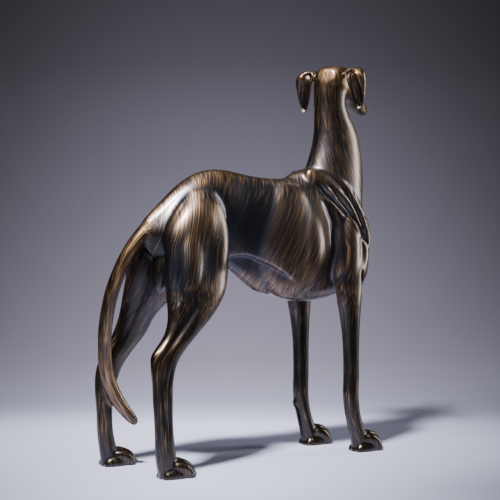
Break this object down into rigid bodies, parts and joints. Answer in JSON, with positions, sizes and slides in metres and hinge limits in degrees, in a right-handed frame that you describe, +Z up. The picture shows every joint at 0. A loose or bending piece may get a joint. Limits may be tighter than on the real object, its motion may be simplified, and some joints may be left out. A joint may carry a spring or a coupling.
{
  "type": "greyhound statue",
  "caption": "Slender standing greyhound cast in bronze, head turned to its left, long neck, tucked-up belly and tail hanging beside the left hock, on flat soles.",
  "frame": {"origin": "on the ground, at the middle of the footprint of the whole figure", "axes": "+X the way the body faces, +Y the dog's left side, +Z up; the head is turned towards +Y"},
  "size_m": [0.269, 0.0886, 0.32],
  "materials": {
    "patinated_bronze": "blue-black patina brushed back to golden bronze in fine streaks, under glossy clear lacquer"
  },
  "bodies": {
    "root": {"greyhound": "patinated_bronze"}
  },
  "joints": []
}
